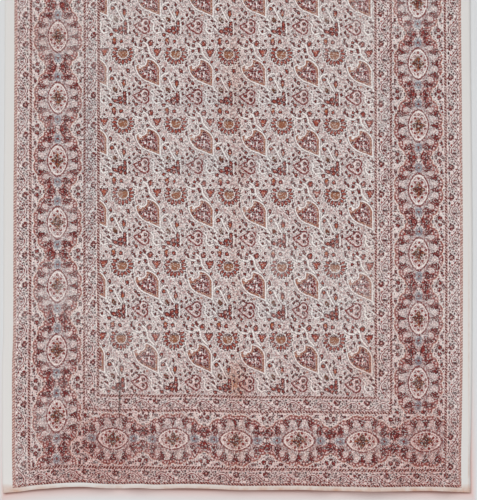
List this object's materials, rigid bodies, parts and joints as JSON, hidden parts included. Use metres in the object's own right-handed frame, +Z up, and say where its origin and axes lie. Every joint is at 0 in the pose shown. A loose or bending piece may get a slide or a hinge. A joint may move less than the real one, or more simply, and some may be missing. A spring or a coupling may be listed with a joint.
{
  "type": "kalamkari panel",
  "caption": "Hanging of block-printed cotton: a field of paisleys and flowers inside a border of medallions between narrow vine bands, with plain selvedges and turned hems.",
  "frame": {"origin": "middle of the top edge, in the middle of the cloth's thickness, where the panel is hung", "axes": "+Z up along the cloth's length, +X to the right of someone facing the print, and the print faces -Y"},
  "size_m": [1.2303, 0.0217, 1.812],
  "materials": {
    "printed_cotton": "matt plain-woven cotton, block-printed in madder red, iron black, grey blue and ochre on cream"
  },
  "bodies": {
    "root": {"printed_cloth": "printed_cotton"}
  },
  "joints": []
}
